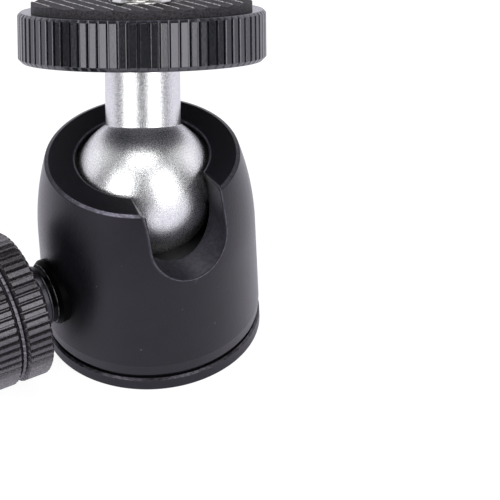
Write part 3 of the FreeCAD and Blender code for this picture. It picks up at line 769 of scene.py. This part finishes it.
def housing_outline():
    """Closed outline of the housing's wall, with a row at every height that the notch's round end
    needs: foot bevel, straight wall, dome arc, rim bevel, top flat, mouth, lip and bore. The dome's
    radius is (inset^2 + rise^2) / (2 x inset), so that it meets wall and rim."""
    rise, inset = RIM_BEVEL_HEIGHT - SHOULDER_HEIGHT, HOUSING_RADIUS - RIM_RADIUS
    dome = (inset ** 2 + rise ** 2) / (2 * inset)
    turn = np.cos(np.linspace(0, np.pi / 2, NOTCH_ROWS))
    outer_end = NOTCH_HEIGHT - (NOTCH_HALF + NOTCH_CHAMFER) * turn
    inner_end = NOTCH_HEIGHT - (NOTCH_HALF + BORE_EDGE) * turn
    plain = np.linspace(FOOT_BEVEL_TOP, SHOULDER_HEIGHT, PLAIN_ROWS)[1:]
    above = np.linspace(NOTCH_HEIGHT, RIM_BEVEL_HEIGHT, DOME_ROWS)[1:-1]
    corner_turn = np.cos(np.linspace(CORNER_FIRST_ANGLE, np.pi / 2, CORNER_ROWS))
    corner = RIM_BEVEL_HEIGHT - TOP_CORNER * (1 - corner_turn)
    heights = np.unique(np.round(np.concatenate([plain, outer_end, above, corner]), 4))
    heights = heights[heights < RIM_BEVEL_HEIGHT - ROW_MARGIN]
    bulge = np.maximum(heights - SHOULDER_HEIGHT, 0)
    radii = HOUSING_RADIUS - dome + np.sqrt(dome ** 2 - bulge ** 2)
    foot = [(BORE_RADIUS, HOUSING_FOOT), (HOUSING_RADIUS - FOOT_INSET, HOUSING_FOOT, FOOT_ROUND),
            (HOUSING_RADIUS, FOOT_BEVEL_TOP, FOOT_BEVEL_ROUND)]
    flat_edge, mouth_edge = RIM_RADIUS - RIM_BEVEL_WIDTH, MOUTH_RADIUS + MOUTH_FLARE
    slope = (RIM_HEIGHT - RIM_BEVEL_HEIGHT) / RIM_BEVEL_WIDTH
    top = [(RIM_RADIUS, RIM_BEVEL_HEIGHT, RIM_ROUND),
           (RIM_RADIUS - HIGHLIGHT_WIDTH, RIM_BEVEL_HEIGHT + slope * HIGHLIGHT_WIDTH),
           (flat_edge + HIGHLIGHT_WIDTH, RIM_HEIGHT - slope * HIGHLIGHT_WIDTH), (flat_edge, RIM_HEIGHT, FLAT_ROUND),
           (flat_edge - HIGHLIGHT_WIDTH, RIM_HEIGHT), (mouth_edge + HIGHLIGHT_WIDTH, RIM_HEIGHT),
           (mouth_edge, RIM_HEIGHT, MOUTH_ROUND), (MOUTH_RADIUS, MOUTH_EDGE_HEIGHT, MOUTH_ROUND),
           (MOUTH_RADIUS, LIP_HEIGHT, SOFT_EDGE), (BORE_RADIUS, LIP_HEIGHT)]
    bore_rows = np.concatenate([BORE_ROWS_ABOVE, inner_end[::-1], BORE_ROWS_BELOW])
    bore = [(BORE_RADIUS, row) for row in bore_rows]
    return rounded(foot + list(zip(radii, heights)) + top + bore, 0.0, 5)


def make_housing():
    """Turned wall, opened by a notch. The wall's outline is carried round from one side of the
    notch to the other, whose angle has the sine (half width + edge) / radius. Along the notch its
    outer edge is chamfered, and its round end and flat sides close the wall: the round end follows
    x^2 + (z - centre)^2 = half width^2."""
    outline = housing_outline()
    radius, height = outline.T
    outside = (radius > RIM_RADIUS - OUTSIDE_INSET) & (height > HOUSING_FOOT + OUTSIDE_RISE)
    flat = (radius > MOUTH_RADIUS + HAIR) & (height > MOUTH_EDGE_HEIGHT)
    near_rim = np.clip(1 - (RIM_HEIGHT - height) / RIM_EDGE_REACH, 0, 1) ** 2
    end_edge = np.where(outside, NOTCH_CHAMFER, BORE_EDGE)
    below = np.clip((NOTCH_HEIGHT - height) / (NOTCH_HALF + end_edge), 0, 1)
    narrowing = np.sqrt(1 - below ** 2)
    # Rows near the rim lie further out, as on a circle of the corner's size, so that the notch's
    # upper corners are rounded. The left one's edge at the mouth is rounded too.
    over = np.clip((height - (RIM_HEIGHT - TOP_CORNER)) / TOP_CORNER, 0, 1)
    outwards = np.clip((radius - RIM_RADIUS + TOP_CORNER_FADE) / TOP_CORNER_FADE, 0, 1)
    corner = TOP_CORNER * (1 - np.sqrt(1 - over ** 2)) * outwards
    inner = np.clip(1 - (radius - MOUTH_RADIUS) / MOUTH_CORNER, 0, 1)
    at_mouth = (height > LIP_HEIGHT - HAIR) & (radius < BORE_RADIUS - HAIR)
    mouth = MOUTH_CORNER * (1 - np.sqrt(1 - inner ** 2)) * at_mouth
    halves, edges, reach = {}, {}, {}
    for side, left in ((1, 0.0), (-1, 1.0)):
        corner_share = RIGHT_CORNER_SHARE + (1 - RIGHT_CORNER_SHARE) * left
        halves[side] = NOTCH_HALF + corner * corner_share + mouth * left
        wall_edge = NOTCH_CHAMFER + (RIM_EDGE - NOTCH_CHAMFER) * near_rim * left
        wide = np.where(outside | flat, wall_edge, BORE_EDGE)
        edges[side] = np.where(flat & ~outside, FLAT_EDGE, wide)
        reach[side] = np.arcsin((halves[side] + edges[side]) * narrowing / radius)
    columns = HOUSING_COLUMNS
    turn = 2 * np.pi - reach[1] - reach[-1]
    angle = -np.pi / 2 + reach[1][:, None] + np.linspace(0, 1, columns) * turn[:, None]
    shell = round_axis(radius[:, None], angle, height[:, None])
    on_bevel = ((radius < RIM_RADIUS - BEVEL_MARGIN) & (height > RIM_BEVEL_HEIGHT - HAIR)
                & (radius > RIM_RADIUS - RIM_BEVEL_WIDTH - HAIR))
    # The painted highlight on the bevel is strongest in front, to the left of the notch, where the columns
    # end
    bevel_light = np.clip(np.linspace(*BEVEL_HIGHLIGHT_RAMP, columns), BEVEL_HIGHLIGHT_LEAST, 1)
    bevel_light = bevel_light * np.clip(np.linspace(columns / BEVEL_FADE_COLUMNS, 0, columns), 0, 1)
    # Painted highlights along the mouth's edge and on the rim bevel
    at_mouth_edge = highlight_near(outline, MOUTH_RADIUS + MOUTH_FLARE, RIM_HEIGHT)
    wear_and_highlight_share = BEVEL_HIGHLIGHT * on_bevel[:, None] * bevel_light + MOUTH_HIGHLIGHT * at_mouth_edge[:, None]
    grids = [(shell, grid_faces(len(outline), columns, True, False), wear_and_highlight_share.reshape(-1))]
    tangent = np.roll(outline, -1, 0) - np.roll(outline, 1, 0)
    tangent /= np.linalg.norm(tangent, axis=1)[:, None]
    inward = np.stack([-tangent[:, 1], tangent[:, 0]], -1)
    cut = np.flatnonzero(below < 1)
    rows = np.arange(cut[0] - 1, cut[-1] + 2)
    across, depth = np.array(CHAMFER_ACROSS), np.array(CHAMFER_DEPTH)
    n, low = inward[rows], below[rows][:, None]
    r, z = radius[rows][:, None], height[rows][:, None]
    # Wear and a painted highlight along the outer part of the notch's chamfer
    highlight_and_wear = np.where(outside[rows][:, None], CHAMFER_WEAR_AND_HIGHLIGHT, 0.0)
    level = np.flatnonzero(below[rows] <= 0)
    ends = level[0] + 1
    for side in (1, -1):
        edge, half = edges[side][rows][:, None], halves[side][rows][:, None]
        wide = half + edge * across
        x = wide * narrowing[rows][:, None]
        z_strip = np.where(low > 0, NOTCH_HEIGHT - wide * low, z + n[:, 1:2] * edge * depth)
        inwards = -np.sign(r - (BORE_RADIUS + HOUSING_RADIUS) / 2)
        r_strip = r + np.where(low > 0, inwards, n[:, :1]) * edge * depth
        strip = np.stack([side * x, -np.sqrt(r_strip ** 2 - x ** 2), z_strip], -1)
        notch_side = strip[:, -1]
        walls = np.stack([notch_side[:ends], notch_side[::-1][:ends]])
        polygon = np.arange(len(level))[None, :]
        # The notch's walls take a faint painted sheen
        for grid, quads, marked in ((strip, grid_faces(len(rows), len(across)), highlight_and_wear.reshape(-1)),
                                    (notch_side[level], polygon, 0.0),
                                    (walls, grid_faces(2, ends), WALL_SHEEN)):
            grids.append((grid, quads[:, ::-1] if side > 0 else quads, marked))
    make_piece("housing_turned", grids, "housing", "housing")


def dress(node, material):
    """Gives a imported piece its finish, in each of its material slots."""
    slots = nodes[node].data.materials
    for i in range(len(slots)):
        slots[i] = material
    if not len(slots):
        slots.append(material)


# Camera: the photograph's angles in radians, its distance in millimetres and its framing in pixels
CAMERA_ELEVATION = 0.6852
CAMERA_AZIMUTH = -0.4639
CAMERA_ROLL = 0.0479
CAMERA_DISTANCE = 735.0
CAMERA_CLIP = 0.01
FRAME_PIXELS = 500
FOCAL_PIXELS = 4787.417
SENSOR = 36.0
BALL_PIXEL = (144.0230, 184.8135)
CAMERA_BALL_HEIGHT = 27.3027

# Table: half of its side in metres, its glow, and the share of the camera's bright table that
# reflections see
TABLE_HALF = 1.2
TABLE_GLOW = 0.92
TABLE_MIRRORED = 0.62

# Studio: a direction's height over which the backdrop ends, its part away from the camera over which
# the backdrop and the room change, and the room's light in front and behind
BACKDROP_HEIGHT = (0.27, 0.5)
BACKDROP_DEPTH = (-0.12, 0.15)
ROOM_DEPTH = (-0.6, 0.3)
ROOM_LIGHT = (0.15, 0.03)

# Softboxes: azimuth to the right of the camera's side and elevation in degrees, distance, width and
# height in metres, and power in watts
SOFTBOXES = {
    "left_softbox": (-43, 26.5, 0.6, 0.37, 0.57, 1.85),
    "right_softbox": (40, 26.5, 0.6, 0.37, 0.57, 1.85),
    "top_softbox": (0, 85, 0.7, 0.46, 0.36, 2.0),
    "left_fill": (-112, 34, 0.6, 0.4, 0.4, 0.35),
    "right_fill": (108, 34, 0.6, 0.4, 0.4, 0.4),
}


def pose_matrix(x, y, z, position):
    """Matrix whose columns are an object's three axes and its position."""
    return Matrix([[x[i], y[i], z[i], position[i]] for i in range(3)] + [[0, 0, 0, 1]])


def upright_axes(azimuth, elevation):
    """Right, up and back of a camera or lamp that looks from an azimuth a and elevation e, in
    radians: back = (sin a cos e, -cos a cos e, sin e), right = Z x back, up = back x right."""
    back = np.array([math.sin(azimuth) * math.cos(elevation), -math.cos(azimuth) * math.cos(elevation),
                     math.sin(elevation)])
    right = np.cross([0, 0, 1.0], back)
    right /= np.linalg.norm(right)
    return right, np.cross(back, right), back


def make_camera():
    """Camera that sees the ball's centre at its pixel, from the photograph's side and distance. A
    pixel's offset from the frame's middle, over the focal length in pixels, times the distance is
    the centre's offset across the view."""
    right, up, back = upright_axes(CAMERA_AZIMUTH, CAMERA_ELEVATION)
    c, s = math.cos(CAMERA_ROLL), math.sin(CAMERA_ROLL)
    rolled_right, rolled_up = c * right - s * up, s * right + c * up
    offset = [(pixel - FRAME_PIXELS / 2) / FOCAL_PIXELS * CAMERA_DISTANCE for pixel in BALL_PIXEL]
    seen = offset[0] * rolled_right - offset[1] * rolled_up - CAMERA_DISTANCE * back
    position = np.array([0, 0, CAMERA_BALL_HEIGHT]) - seen
    data = bpy.data.cameras.new("camera")
    data.sensor_width = SENSOR
    data.lens = FOCAL_PIXELS / FRAME_PIXELS * SENSOR
    data.clip_start = CAMERA_CLIP
    camera = new_object("camera", data)
    camera.matrix_world = pose_matrix(rolled_right, rolled_up, back, position * MM)
    bpy.context.scene.camera = camera


def softbox(name, azimuth, elevation, distance, width, height, power):
    """Area lamp that faces the ball's centre from an azimuth and elevation round it."""
    data = bpy.data.lights.new(name, "AREA")
    data.shape = "RECTANGLE"
    data.size, data.size_y = width, height
    data.energy = power
    lamp = new_object(name, data)
    right, up, back = upright_axes(math.radians(azimuth) + CAMERA_AZIMUTH, math.radians(elevation))
    lamp.matrix_world = pose_matrix(right, up, back, BALL_CENTRE * MM + back * distance)


def make_table():
    """White table. Its paper lights the object. The camera and, less, reflections see a grey
    paper with a glow on top, so that it is white but keeps the object's shadow."""
    size = TABLE_HALF
    corners = [(-size, -size, 0), (size, -size, 0), (size, size, 0), (-size, size, 0)]
    mesh = bpy.data.meshes.new("table")
    mesh.from_pydata(corners, [], [(0, 1, 2, 3)])
    material = bpy.data.materials.new("white_paper")
    tree = fresh_tree(material)
    path = add_node(tree, "LightPath")
    camera = path.outputs["Is Camera Ray"]
    mirrored = compute(tree, "MAXIMUM", path.outputs["Is Glossy Ray"], path.outputs["Is Transmission Ray"])
    seen = compute(tree, "MULTIPLY_ADD", mirrored, TABLE_MIRRORED, camera, clamp=True)
    # The pale lilac of the photograph's reflections
    tone = blend(tree, camera, linear("#f4f0ff"), linear("#ffffff"))
    paper = add_node(tree, "BsdfDiffuse", Color=linear("#f6f5f9")).outputs["BSDF"]
    shade = add_node(tree, "BsdfDiffuse", Color=linear("#767676")).outputs["BSDF"]
    glow = add_node(tree, "Emission", Color=tone, Strength=TABLE_GLOW).outputs["Emission"]
    bright = add_node(tree, "AddShader", Socket_0=shade, Socket_1=glow).outputs[0]
    mix = add_node(tree, "MixShader", Fac=seen, Socket_1=paper, Socket_2=bright).outputs[0]
    add_node(tree, "OutputMaterial", Surface=mix)
    mesh.materials.append(material)
    table = new_object("table", mesh)


def make_light():
    """White backdrop behind the object, up to a little above the table, in a dark room, and the
    softboxes. The backdrop's share is the product of two smooth steps: of the direction's height,
    and of its part along the line from camera to object. The camera itself sees plain white."""
    world = bpy.data.worlds.new("studio")
    bpy.context.scene.world = world
    tree = fresh_tree(world)
    way = add_node(tree, "TexCoord").outputs["Generated"]
    rise = add_node(tree, "SeparateXYZ", Vector=way).outputs["Z"]
    behind = (-math.sin(CAMERA_AZIMUTH), math.cos(CAMERA_AZIMUTH), 0)
    depth = add_node(tree, "VectorMath", {"operation": "DOT_PRODUCT"}, Socket_0=way,
                     Socket_1=behind).outputs["Value"]
    low = ramp(tree, rise, BACKDROP_HEIGHT, (1.0, 0.0), "SMOOTHSTEP")
    back = ramp(tree, depth, BACKDROP_DEPTH, kind="SMOOTHSTEP")
    room = ramp(tree, depth, ROOM_DEPTH, ROOM_LIGHT)
    lit = compute(tree, "MAXIMUM", compute(tree, "MULTIPLY", low, back), room)
    strength = compute(tree, "MAXIMUM", lit, add_node(tree, "LightPath").outputs["Is Camera Ray"])
    sky = add_node(tree, "Background", Color=linear("#faf8ff"), Strength=strength).outputs["Background"]
    add_node(tree, "OutputWorld", Surface=sky)
    for name, values in SOFTBOXES.items():
        softbox(name, *values)


finishes = {
    # Black dye in a bead-blasted, anodised and sealed skin: near black, with a faint broad sheen and
    # specks of dust. Pale metal is painted as highlights along the rim bevel, the mouth and the notch's
    # chamfer, with some wear on the chamfer, and as a faint sheen on the notch's walls
    "housing": finish("satin_black_anodised_aluminium", "#0b0b0e", "#0f0e13", roughness=0.36, ior=1.34,
                      grain=0.3, depth=0.03, wear_and_highlight="#908c9c", patch_size=0.6, patchy=0.5, specks="#6a6870",
                      gloss_tint=LILAC_GLOSS, sealed=1.0),
    # The same skin, a little shinier, with a dull painted highlight along the chamfer, which is glossier
    # there
    "base_plate": finish("black_anodised_base", "#0b0b0e", "#0f0e13", roughness=0.34, ior=1.44,
                         grain=0.25, depth=0.014, wear_and_highlight="#3c3a3e", wear_and_highlight_roughness=0.2,
                         gloss_tint=LILAC_GLOSS),
    # Thick hard anodising, polished: deep black lands with clear, bright reflections, and a painted
    # lilac-grey highlight along the chamfered shoulder
    "lock_ring": finish("gloss_black_anodised_ring", "#0a0c0f", "#0f1216", roughness=0.2, ior=1.84,
                        grain=0.4, depth=0.012, wear_and_highlight="#4e4d58", patch_size=1.0, patchy=0.3,
                        gloss_tint="#f8f6ff"),
    # Knurl cut with fine marks, drawn coarser so that they show: greyish, mottled lands, and a painted
    # highlight along the bead
    "knob_body": finish("matt_black_anodised_knob", "#0d0c0f", "#2f2b2e", roughness=0.31, spread=0.12,
                        ior=1.85, grain=0.22, depth=0.022, wear_and_highlight="#6c6a78", patchy=0.3,
                        gloss_tint="#faf6ff", mottle=0.35),
    # Glass beads leave fine dents, drawn twice as coarse so that they show: they spread each
    # highlight and make its edge sparkle
    "ball_stem": finish("bead_blasted_aluminium", "#f8f9f9", "#cecfd2", roughness=0.28, spread=0.07,
                        metallic=1.0, grain=0.14, depth=0.026, dents=0.18, mottle=0.15),
    # Moulded rubber with a rough skin: dull grey-black, with painted highlights on the ribs' crests
    "rubber_pad": finish("nitrile_rubber", "#121113", "#3c383e", roughness=0.6, ior=1.42, grain=0.3,
                         depth=0.2, wear_and_highlight="#fffbfd", wear_and_highlight_roughness=0.5, mottle=0.35),
    # Turned and bare: bright, with tight reflections along the thread
    "camera_screw": finish("turned_stainless_steel", "#c4c3c1", "#b9b8b6", roughness=0.2, metallic=1.0,
                           depth=0.004),
    # Punched from sheet: the same steel with a softer gloss
    "stop_washer": finish("stamped_stainless_washer", "#bdbcba", roughness=0.3, metallic=1.0, depth=0.004),
    # Thin zinc on rolled threads: mid grey metal with a broken gloss
    "clamp_screw": finish("zinc_plated_steel", "#55565a", "#4a4b4f", roughness=0.35, metallic=1.0,
                          depth=0.006),
    # Phosphate darkens the steel: a dark grey metal ring
    "collar_washer": finish("phosphated_steel_washer", "#3c3c40", roughness=0.3, metallic=1.0, depth=0.004),
    # Turned and anodised grey-black: a clear light line along its rounded edge
    "thrust_collar": finish("grey_anodised_collar", "#141416", "#19191c", roughness=0.27, depth=0.006,
                            gloss_tint=LILAC_GLOSS),
    # Black dye in a thin skin, drawn deeper and with almost no reflection as painted shade under the
    # knob, and a painted highlight along the edge of its face
    "clamp_bushing": finish("black_anodised_bushing", "#030304", roughness=0.32, ior=1.08, depth=0.005,
                            wear_and_highlight="#b8b6b8", wear_and_highlight_roughness=0.25, patch_size=1.5),
    # As the knob, without its knurl: an even dark satin disc
    "knob_cap": finish("satin_black_anodised_cap", "#101013", "#141317", roughness=0.34, depth=0.012),
    # Turned steel without a coat: light grey metal
    "base_thread_insert": finish("machined_steel_insert", "#9c9c9d", "#8f8f91", roughness=0.3,
                                 metallic=1.0, depth=0.004),
    # Oxide and oil on steel: black with a metal gloss
    "base_screws": finish("black_oxide_steel", "#1c1c1d", "#232326", roughness=0.35, metallic=0.6,
                          depth=0.006),
    # Ground steel: even, clear gloss
    "guide_pins": finish("ground_steel_pins", "#a8a8a8", roughness=0.25, metallic=1.0, depth=0.002),
    # Machined acetal: dull black plastic
    "upper_liner": finish("black_acetal_liner", "#161617", roughness=0.45, ior=1.48, grain=0.3),
    "lower_cup": finish("black_acetal_cup", "#161617", roughness=0.45, ior=1.48, grain=0.3),
    # Turned brass: warm yellow metal
    "lifter": finish("machined_brass", "#c9a65a", "#bd984c", roughness=0.32, metallic=1.0, depth=0.006),
    # Tempering colours on spring steel: bluish grey metal
    "disc_spring": finish("blued_spring_steel", "#4c4f57", "#454753", roughness=0.3, metallic=1.0,
                          depth=0.004),
    # Undyed nylon sheet: milky white and dull
    "friction_washer": finish("natural_nylon", "#d9d8cf", "#d2d1c6", roughness=0.5, ior=1.53, grain=0.3),
}
for node_name, node_finish in finishes.items():
    dress(node_name, node_finish)

for make in (make_housing, make_base_plate, make_ball_stem, make_clamp_bushing, make_small_turnings,
             make_lock_ring, make_knob, make_camera_screw, make_pad, make_camera, make_table, make_light):
    make()
bpy.context.scene.view_settings.view_transform = "Standard"
